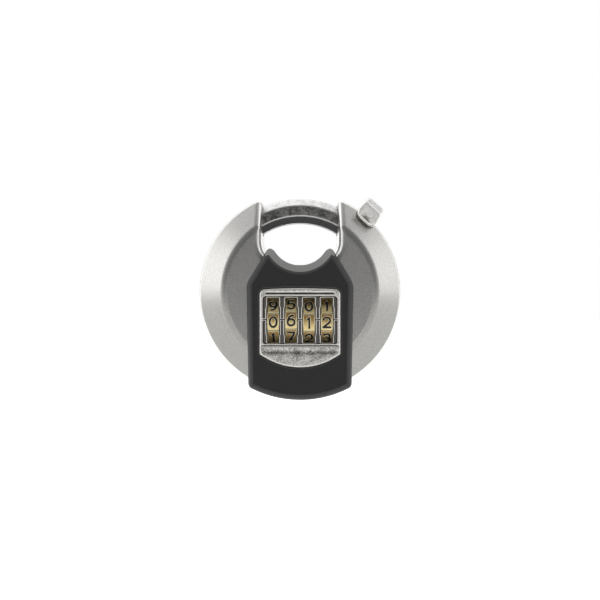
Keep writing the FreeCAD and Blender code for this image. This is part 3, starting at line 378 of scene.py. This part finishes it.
def hardened_steel(start):
    scale = start.noise(0.0010, 5.0, 0.7)
    smear = start.noise(0.0035, 4.0, 0.6)
    # The bulging edges are painted bright: partly worn steel, partly a painted highlight.
    wear_and_sheen = start.attribute("edge").between(0.5, 1.5)
    outer, inner = start.attribute("outer"), start.attribute("inner")
    black = (scale * 0.6 + smear * 0.4).between(0.36, 0.64).mix((0.075, 0.073, 0.07), (0.375, 0.37, 0.36))
    # The outer flats are painted lighter, partly rubbed steel and partly a painted highlight; the inner flats
    # are painted darker, a painted shade.
    rubbed = (scale * 0.5 + smear * 0.5).between(0.40, 0.56).mix((0.46, 0.457, 0.45), (0.64, 0.635, 0.63))
    colour = inner.mix(outer.mix(black, rubbed), (0.17, 0.17, 0.174))
    return {
        "Base Color": wear_and_sheen.mix(colour, (0.64, 0.63, 0.62)),
        "Metallic": 1.0,
        "Roughness": 0.36 + scale * 0.12 - wear_and_sheen * 0.1,
        "Normal": start.bump(scale, 0.00004, 0.4),
    }


outer = bar_radius + bar_flats / 2 + 0.6
bar = cast(
    "shackle_bar", (-outer, -5.0, -1.0), (outer, 5.0, outer), 0.3, bar_shape,
    outer=lambda x, y, z: np.clip((np.hypot(x, z) - bar_radius - bar_side) / 0.5, 0, 1),
    inner=lambda x, y, z: np.clip((bar_radius - bar_side - np.hypot(x, z)) / 0.5, 0, 1),
)
dress(bar, material("hardened_steel", hardened_steel), "shackle_arm", "shackle_steel", "shackle")

# ---- thumb knob ----
# A nickel-plated steel block screwed to the bar through a short neck, which runs in the rim's slot. Its foot
# is hollowed to clear the rim, and its outer end is bevelled where the thumb pushes.

knob_turn = math.radians(48.0)
knob_low, knob_high, knob_half, knob_deep = 32.7, 41.0, 4.3, 8.7
knob_shoulder, knob_chamfer, knob_clear = 34.0, 3.2, 0.6
neck_half, neck_deep, neck_high = 2.6, 2.3, 37.1
screw_seat, screw_head, screw_shank = 38.5, 2.75, 1.55


def on_knob(x, z):
    """A point's place outwards along the knob's own radius, and sideways from it."""
    cos, sin = math.cos(knob_turn), math.sin(knob_turn)
    return x * cos + z * sin, z * cos - x * sin


def knob_bevel(x, y, z):
    """How far a point is outside the bevel across the knob's outer end."""
    out, _ = on_knob(x, z)
    return (out - knob_high + np.abs(y) - knob_deep + knob_chamfer) * math.sqrt(0.5)


def knob_shape(x, y, z):
    out, side = on_knob(x, z)
    past_shoulder = np.maximum(out - knob_shoulder, 0)
    crowned = np.abs(y) + 0.035 * past_shoulder**2
    flank = np.maximum(side, -side + 0.2 * past_shoulder) - knob_half
    plan = both(both(knob_low - out, flank, 2.9), out - knob_high, 1.7)
    block = both(both(plan, crowned - knob_deep, 1.1), knob_bevel(x, y, z), 1.2, 45)
    block = both(block, knob_clear - disc_body(x, y, z), 0.3)
    side, deep = np.abs(side), np.abs(y)
    neck_plan = np.maximum(side - neck_half, deep - neck_deep)
    neck = np.maximum(neck_plan, np.maximum(knob_low - out, out - neck_high))
    block = both(either(block, neck, 0.3), bar_radius + bar_flats / 2 - np.hypot(x, z), 0.1)
    off_axis = np.hypot(side, deep)
    hole = np.where(out > screw_seat, off_axis - screw_head, off_axis - screw_shank)
    return both(block, -hole, 0.25)


def plated_nickel(start):
    grain = start.noise(0.0004, 3.0, 0.6)
    smear = start.noise(0.0036, 3.0, 0.6)
    facet = start.attribute("facet")
    # The bulging edges are painted bright, partly wear and partly a painted highlight, and less so on the
    # bevel.
    wear_and_sheen = start.attribute("edge").between(0.25, 0.9) * (facet * -0.75 + 1.0)
    fleck = start.noise(0.0010, 4.0, 0.65)
    # A dark patch on the faces by the knob's foot is painted shade, mixed with random mottling.
    mottle_and_shade = (start.attribute("rubbed") * 0.55 + smear * 0.25 + fleck * 0.5).between(0.50, 0.76)
    colour = smear.between(0.40, 0.60).mix((0.93, 0.92, 0.90), (1.0, 0.99, 0.96))
    # The bevel across the outer end is painted dark grey: a painted shade.
    colour = mottle_and_shade.mix(facet.mix(colour, (0.24, 0.237, 0.232)), (0.26, 0.23, 0.20))
    return {
        "Base Color": wear_and_sheen.mix(colour, (1.0, 0.98, 0.94)),
        "Metallic": 0.04 + mottle_and_shade * 0.3 + facet * 0.4 + wear_and_sheen * 0.3,
        "Roughness": 0.36 + mottle_and_shade * 0.1 + grain * 0.06 - wear_and_sheen * 0.16,
        "Normal": start.bump(grain, 0.00002, 0.3),
    }


nickel = material("plated_nickel", plated_nickel)
knob = cast(
    "thumb_knob", (18.0, -9.4, 20.0), (34.5, 9.4, 36.0), 0.2, knob_shape,
    # This patch by the knob's foot marks painted shade.
    rubbed=lambda x, y, z: np.clip(1.25 - np.hypot(x - 22.0, z - 24.4) / 2.6, 0, 1) * (np.abs(y) > 7.5),
    facet=lambda x, y, z: np.clip(0.35 + knob_bevel(x, y, z) / 0.5, 0, 1),
)
dress(knob, nickel, "shackle_arm", "knob_nickel", "shackle_knob")

# ---- cover ----
# A black moulded cover over the front: it follows the slope, laps round the bottom rim, rises in two horns
# beside the mouth, and is cut away between them in a bevelled scallop. The bezel sits in a shallow pocket.

cover_front, cover_back = -14.5, -2.0
horn, shoulder, foot, foot_radius = (11.0, 14.9), (18.3, 2.7), (17.7, -32.5), 37.0
scallop_radius, scallop_z = 10.2, 19.3
bevel_wide, bevel_deep, bevel_long = 2.7, 1.8, 3.245
bezel_back, bezel_half, bezel_top = -13.75, 13.8, 1.3


def half_plane(x, z, start, end):
    """How far a point is outside the line from start down to end, on either side of the middle."""
    run, fall = end[0] - start[0], start[1] - end[1]
    return ((np.abs(x) - start[0]) * fall + (z - start[1]) * run) / math.hypot(run, fall)


def bezel_outline(x, z, grow=0.0):
    """The bezel from the front: straight sides, a slightly arched top and a lower edge in one arc."""
    top = z - bezel_top + 0.5 * (x / bezel_half) ** 2 - grow
    sides = both(np.abs(x) - bezel_half - grow, top, 1.9 + grow)
    return both(sides, np.hypot(x, z + 2.8) - 23.0 - grow, 0.5, 50)


def bevel_cut(x, y, z):
    """The bevel round the scallop and over the horns' tips, less than nought where it took the plate away."""
    inset = -both(scallop_radius - np.hypot(x, z - scallop_z), z - horn[1], 2.4)
    return (inset * bevel_deep + (y - cover_front - bevel_deep) * bevel_wide) / bevel_long


def cover_shape(x, y, z):
    flank = both(half_plane(x, z, horn, shoulder), half_plane(x, z, shoulder, foot), 6.0, 32)
    plan = both(both(flank, z - horn[1], 1.9, 59), np.hypot(x, z) - foot_radius, 2.2, 60)
    plan = both(plan, scallop_radius - np.hypot(x, z - scallop_z), 1.2)
    plate = both(plan, cover_front - y, 1.9)
    plate = both(plate, y - cover_back, 0.4)
    plate = both(plate, 0.05 - disc_body(x, y, z), 0.12)
    plate = both(plate, -bevel_cut(x, y, z), 1.2, 34)
    pocket = np.maximum(bezel_outline(x, z, 0.12), y - bezel_back)
    return both(both(plate, -window_outline(x, z), 0.15), -pocket, 0.35)


def moulded_black(start):
    grain = start.noise(0.00035, 2.0, 0.6)
    cloud = start.noise(0.008, 3.0)
    # The scallop's bevel is painted grey: a painted highlight where it faces the light above.
    bevel = start.attribute("bevel").between(0.35, 0.65)
    # The bulging edges are painted lighter: partly wear, partly a painted highlight.
    wear_and_sheen = start.attribute("edge").between(0.10, 0.6)
    colour = cloud.mix((0.017, 0.017, 0.018), (0.021, 0.021, 0.022))
    colour = wear_and_sheen.mix(colour, (0.062, 0.062, 0.064))
    return {
        "Base Color": bevel.mix(colour, (0.31, 0.31, 0.30)),
        "Roughness": 0.52 + grain * 0.10 - bevel * 0.1,
        "Normal": start.bump(grain, 0.00003, 0.35),
    }


cover = cast(
    "cover", (-19.0, -15.1, -37.8), (19.0, -1.4, 15.6), 0.22, cover_shape,
    bevel=lambda x, y, z: (np.abs(bevel_cut(x, y, z)) < 0.3) * np.clip((y - cover_front - 0.12) / 0.25, 0, 1),
)
dress(cover, material("moulded_black", moulded_black), "lock_body", "black_cover", "front_cover")

# ---- bezel ----
# A plate of antiqued zinc: a raised frame, a sunk panel with the four windows, an index line across its bars
# and a bare field below. The cast face is speckled, dark in the hollows and polished bright along the edges,
# with a painted highlight on the edges and painted near-black shade on the windows' walls.

bezel_front = -14.95
panel_half, panel_top, panel_foot = 12.75, -1.5, -17.85
slit_half, slit_tall, relief_half, relief_radius = 2.075, 7.75, 2.35, 10.55
dial_pitch, index_z, index_half = 6.1, -9.45, 0.16
axle_y, axle_z = ((Vector(joints["dial_1_turn"]["pos_m"]) - disc_centre) / MM)[1:]


def trough(z, middle, tall, deep, beyond_end, fade):
    """A soft groove across the bezel at one height, which fades out towards its ends."""
    return deep * np.exp(-(((z - middle) / tall) ** 2)) * np.clip(0.5 - beyond_end / fade, 0, 1)


def bezel_shape(x, y, z):
    panel = both(both(np.abs(x) - panel_half, z - panel_top, 1.2), panel_foot - z, 1.2)
    outline = bezel_outline(x, z)
    sunk = 0.42 * np.clip(0.5 - panel / 0.4, 0, 1)
    sunk = sunk + trough(z, -18.35, 0.24, 0.30, outline + 0.8, 0.8)
    sunk = sunk + trough(z, -0.5, 0.38, 0.22, np.abs(x) - 11.6, 0.8)
    sunk = sunk + trough(z, -20.6, 0.9, 0.14, outline + 1.2, 1.2)
    index = np.maximum(np.abs(z - index_z) - index_half, panel)
    sunk = sunk + 0.30 * np.clip(0.5 - index / index_half, 0, 1)
    plate = both(outline, (bezel_front + sunk - y) * 0.8, 0.55)
    plate = both(plate, y - bezel_back, 0.1)
    nearest = np.clip(np.round(x / dial_pitch - 0.5), -2, 1) + 0.5
    beside = np.abs(x - nearest * dial_pitch)
    slit = both(beside - slit_half, np.abs(z - window_z) - slit_tall, 0.3)
    relief = both(beside - relief_half, np.hypot(y - axle_y, z - axle_z) - relief_radius, 0.2)
    return both(plate, -either(slit, relief, 0.2), 0.2)


def antique_plate(start):
    speck = start.noise(0.00042, 4.0, 0.7)
    cloud = start.noise(0.003, 3.0)
    bulge = start.attribute("edge")
    deep = start.attribute("deep")
    # The bulging edges are polished bright, with a painted highlight too; the hollows are darkened by the
    # antique patina.
    wear_and_sheen, darker_in_hollows = bulge.between(0.15, 0.8), bulge.between(-0.15, -1.1)
    tone = (speck * 0.7 + cloud * 0.3 - deep.between(0, 1) * 0.50).between(0.32, 0.60)
    colour = tone.mix((0.14, 0.13, 0.12), (0.96, 0.94, 0.90))
    colour = wear_and_sheen.mix(colour, (1.0, 0.98, 0.94))
    colour = darker_in_hollows.mix(colour, (0.035, 0.033, 0.03))
    return {
        # The windows' walls, deep behind the face, are painted near black: a painted shade.
        "Base Color": deep.between(1.2, 1.8).mix(colour, (0.02, 0.02, 0.02)),
        "Metallic": 0.75 - wear_and_sheen * 0.15,
        "Roughness": 0.42 - tone * 0.08 - wear_and_sheen * 0.14 + darker_in_hollows * 0.2,
        "Normal": start.bump(speck, 0.00007, 0.7),
    }


bezel = cast(
    "bezel", (-14.4, -15.3, -26.4), (14.4, -13.4, 1.9), 0.13, bezel_shape,
    deep=lambda x, y, z: np.clip((y - bezel_front) / 0.45, 0, 2),
)
dress(bezel, material("antique_plate", antique_plate), "lock_body", "antique_plate", "dial_bezel")

# ---- number dials ----
# Four brass drums with ten flats each, a groove between each two, and a numeral engraved in each flat and
# filled with black. They are turned from bar, and each is keyed to its code sleeve by a ten-sided bore.

flat_out, flat_turn, dial_half, bore_half = 9.5, math.radians(36), 2.05, 4.24
numeral_deep, stroke_half = 0.36, 0.32
groove_foot, groove_slant = 9.36, math.radians(36)


def crown(up):
    """How far out the slightly bowed flat lies, at a height up it."""
    return flat_out - 0.42 * (up / 3) ** 2


def bow(x, z, wide, tall, start, stop):
    """Points along part of an ellipse, from one angle in degrees to another."""
    count = max(4, round(abs(stop - start) / 24))
    turns = [math.radians(start + (stop - start) * step / count) for step in range(count + 1)]
    return [(x + wide * math.cos(turn), z + tall * math.sin(turn)) for turn in turns]


six = [bow(0, -0.6, 1.2, 1.1, 0, 360), bow(0.5, -0.6, 1.7, 2.3, 180, 84)]
numerals = [
    [bow(0, 0, 1.2, 1.7, 0, 360)],
    [[(-0.4, 1.25), (0.12, 1.7), (0.12, -1.7)]],
    [bow(0, 0.65, 1.15, 1.05, 165, -40) + [(-1.2, -1.7), (1.2, -1.7)]],
    [bow(0, 0.82, 1.05, 0.88, 155, -90), bow(0, -0.8, 1.2, 0.9, 90, -155)],
    [[(0.55, -1.7), (0.55, 1.7), (-1.2, -0.75), (1.2, -0.75)]],
    [[(1.0, 1.7), (-0.85, 1.7), (-1.0, 0.1)] + bow(-0.05, -0.6, 1.2, 1.1, 142, -145)],
    six,
    [[(-1.2, 1.7), (1.2, 1.7), (-0.35, -1.7)]],
    [bow(0, 0.85, 0.95, 0.85, 0, 360), bow(0, -0.8, 1.2, 0.9, 0, 360)],
    [[(-x, -z) for x, z in stroke] for stroke in six],
]


def from_stroke(x, z, strokes):
    """How far a point is from the nearest stroke of a numeral."""
    nearest = np.full(x.shape, 9.0)
    for stroke in strokes:
        for (x0, z0), (x1, z1) in zip(stroke, stroke[1:]):
            run, rise = x1 - x0, z1 - z0
            share = np.clip(((x - x0) * run + (z - z0) * rise) / (run * run + rise * rise), 0, 1)
            nearest = np.minimum(nearest, np.hypot(x - x0 - share * run, z - z0 - share * rise))
    return nearest


def on_flats(y, z, turn):
    """The nearest flat's number counted upwards, and a point's place outwards from the axle and up that
    flat."""
    angle = np.arctan2(z - axle_z, axle_y - y) - turn
    flat = np.round(angle / flat_turn)
    angle, r = angle - flat * flat_turn, np.hypot(y - axle_y, z - axle_z)
    return flat, r * np.cos(angle), r * np.sin(angle)


def into_numeral(x, y, z, middle, front, turn):
    """How far a point is outside the strokes of its own flat's numeral."""
    flat, out, up = on_flats(y, z, turn)
    outside = np.full(x.shape, 5.0)
    for digit in range(10):
        near = ((front - flat) % 10 == digit) & (out > flat_out - 1.2) & (np.abs(up) < 2.6)
        near &= np.abs(x - middle) < dial_half
        outside[near] = from_stroke((x - middle)[near], up[near], numerals[digit]) - stroke_half
    return outside


def dial_shape(middle, front, turn):
    """A drum about the axle, its middle at one x, with one numeral to the front and leaning by turn."""
    corner = flat_turn / 2

    def distance(x, y, z):
        _, out, up = on_flats(y, z, turn)
        rim = both(out - crown(up), np.abs(x - middle) - dial_half, 0.25)
        deep = out * math.cos(corner) + np.abs(up) * math.sin(corner) - groove_foot
        beside = out * math.sin(corner) - np.abs(up) * math.cos(corner)
        groove = beside * math.cos(groove_slant) - deep * math.sin(groove_slant)
        drum = both(rim, -groove, 0.16, 54)
        bore = np.maximum(out, 0) - bore_half
        drum = np.maximum(drum, -bore)
        cut = np.maximum(into_numeral(x, y, z, middle, front, turn), flat_out - numeral_deep - out)
        return both(drum, -cut, 0.06)

    return distance


def dial_brass(start):
    grain = start.noise(0.0005, 3.0, 0.6)
    cloud = start.noise(0.0022, 3.0, 0.6)
    ink = start.attribute("ink").between(0.3, 0.7)
    bulge = start.attribute("edge")
    # The bulging edges are painted bright, partly wear and partly a painted highlight; the grooves and
    # hollows are painted dark, a painted shade.
    wear_and_sheen, darker_in_hollows = bulge.between(0.2, 1.5), bulge.between(-0.3, -2.0)
    # Each flat is painted bright at its foot and dark brown at its top, a painted reflection, blotched at
    # random by the cloud.
    tarnish = (start.attribute("tarnish") * 0.8 + cloud * 0.5).between(0.34, 0.94)
    colour = tarnish.mix((1.0, 0.80, 0.38), (0.44, 0.26, 0.09))
    colour = wear_and_sheen.mix(colour, (1.0, 0.90, 0.58))
    colour = darker_in_hollows.mix(colour, (0.06, 0.04, 0.02))
    return {
        "Base Color": ink.mix(colour, (0.012, 0.012, 0.014)),
        "Metallic": 0.6 - ink * 0.6,
        "Roughness": 0.30 + grain * 0.08 + tarnish * 0.1 + ink * 0.2 - wear_and_sheen * 0.08,
        "Normal": start.bump(grain, 0.00002, 0.3),
    }


brass = material("dial_brass", dial_brass)
reach, half_room = 10.4, 2.8
for count, (front, lean) in enumerate(((0, -1.8), (6, 1.6), (1, -3.6), (2, -2.4)), start=1):
    middle, turn = (count - 2.5) * dial_pitch, math.radians(lean)

    def ink(x, y, z):
        _, out, up = on_flats(y, z, turn)
        sunk = (out < crown(up) - 0.07) & (out > flat_out - 0.5)
        return (sunk & (into_numeral(x, y, z, middle, front, turn) < 0.10)).astype(float)

    # How far up its flat a point lies, for the painted reflection.
    def tarnish(x, y, z):
        return np.clip(on_flats(y, z, turn)[2] / 5.0 + 0.5, 0, 1)

    dial = cast(
        f"number_dial_{count}", (middle - half_room, axle_y - reach, axle_z - reach),
        (middle + half_room, axle_y + reach, axle_z + reach), 0.15,
        dial_shape(middle, front, turn), ink=ink, tarnish=tarnish,
    )
    dress(dial, brass, f"dial_set_{count}", "brass_dial", f"dial_{count}")

# ---- inner pieces ----
# What the shells hide: a zinc casting in two halves, turned brass code sleeves, and plain steel and spring
# steel for the spindle, clips, screws, nuts, rivets, locking bar and springs. Each is left as it was cast,
# cut or drawn.


def inner_finish(name, light, dark, roughness, size):
    """A bare metal, blotched between two tones, with grain of one size in metres."""

    def finish(start):
        grain = start.noise(size, 4.0, 0.65)
        cloud = start.noise(size * 9, 2.0)
        tone = (grain * 0.6 + cloud * 0.4).between(0.36, 0.64)
        return {
            "Base Color": tone.mix(dark, light),
            "Metallic": 1.0,
            "Roughness": roughness - tone * 0.12,
            "Normal": start.bump(grain, size / 12, 0.4),
        }

    return material(name, finish)


cast_zinc = inner_finish("cast_zinc", (0.62, 0.62, 0.63), (0.40, 0.40, 0.42), 0.58, 0.0005)
cut_steel = inner_finish("cut_steel", (0.60, 0.59, 0.57), (0.36, 0.35, 0.34), 0.42, 0.0003)
drawn_spring = inner_finish("drawn_spring", (0.42, 0.41, 0.40), (0.22, 0.215, 0.21), 0.36, 0.0002)
turned_brass = inner_finish("turned_brass", (0.86, 0.67, 0.33), (0.62, 0.45, 0.20), 0.38, 0.0003)
finishes = (
    (cast_zinc, ("core_front", "core_rear")),
    (cut_steel, ("core_screws", "bezel_nuts", "dial_spindle", "leaf_rivets", "knob_screw", "locking_bar")),
    (drawn_spring, ("spindle_clips", "detent_spring", "bar_springs")),
    (turned_brass, tuple(f"code_sleeve_{count}" for count in (1, 2, 3, 4))),
)
for finish, names in finishes:
    for name in names:
        slots = frame["nodes"][name].data.materials
        slots.clear()
        slots.append(finish)

# ---- studio ----
# A pale floor well below the hanging padlock, which glows towards the back so that its edge doesn't show. The
# surround is white, dim round the camera and above it, dark in a band beyond the padlock, and bright low in
# front. One soft light overhead is for the shackle's upper flats.

floor_reach, floor_z = 6.0, cad_box[0][2] - 0.10
floor_corners = [(x * floor_reach, y * floor_reach, floor_z) for x, y in ((-1, -1), (1, -1), (1, 1), (-1, 1))]
floor_data = bpy.data.meshes.new("floor")
floor_data.from_pydata(floor_corners, [], [(0, 1, 2, 3)])
floor = bpy.data.objects.new("floor", floor_data)
bpy.context.collection.objects.link(floor)


def floor_paper(start):
    return {
        "Base Color": start.noise(0.05).mix((0.84, 0.84, 0.83), (0.87, 0.87, 0.86)),
        "Roughness": 0.9,
        "Emission Color": start.along(1).between(-0.04, 0.08).mix((0.0, 0.0, 0.0), (0.56, 0.56, 0.56)),
        "Emission Strength": 1.0,
    }


floor_data.materials.append(material("floor_paper", floor_paper))

world = bpy.data.worlds.new("studio")
world.use_nodes = True
world.node_tree.nodes.clear()
sky = Wire(world.node_tree)
direction = sky.node("TexCoord", output=0)
side, ahead, up = (sky.node("SeparateXYZ", {}, {"Vector": direction}, output=axis) for axis in range(3))
ring = side.between(-0.6, 0.6).mix((2.0, 2.0, 2.0), (1.66, 1.66, 1.66))
high = up.between(0.42, 0.78) * ahead.between(0.10, -0.15)
ring = high.mix(ring, (0.64, 0.64, 0.65))
beyond = ahead.between(0.50, 0.66) * ahead.between(0.97, 0.90)
ring = beyond.mix(ring, (0.10, 0.10, 0.10))
near_camera = (ahead * 0.95 - up * 0.3).between(-0.20, -0.75)
glow = near_camera.mix(ring, (0.205, 0.205, 0.21))
card = up.between(-0.03, -0.22) * ahead.between(-0.45, -0.75)
glow = card.mix(glow, (1.5, 1.5, 1.5))
seen = sky.node("LightPath", output=0)
background = sky.node("Background", {}, {"Color": seen.mix(glow, (1.0, 1.0, 1.0)), "Strength": 1.0})
sky.node("OutputWorld", {}, {"Surface": background})
bpy.context.scene.world = world

overhead = bpy.data.lights.new("overhead_softbox", "AREA")
overhead.shape, overhead.size, overhead.size_y, overhead.energy = "RECTANGLE", 0.9, 0.5, 0.6
lamp = bpy.data.objects.new("overhead_softbox", overhead)
lamp.location = disc_centre + Vector((0.0, 0.22, 0.9))
lamp.rotation_euler = (disc_centre - lamp.location).to_track_quat("-Z", "Y").to_euler()
bpy.context.collection.objects.link(lamp)
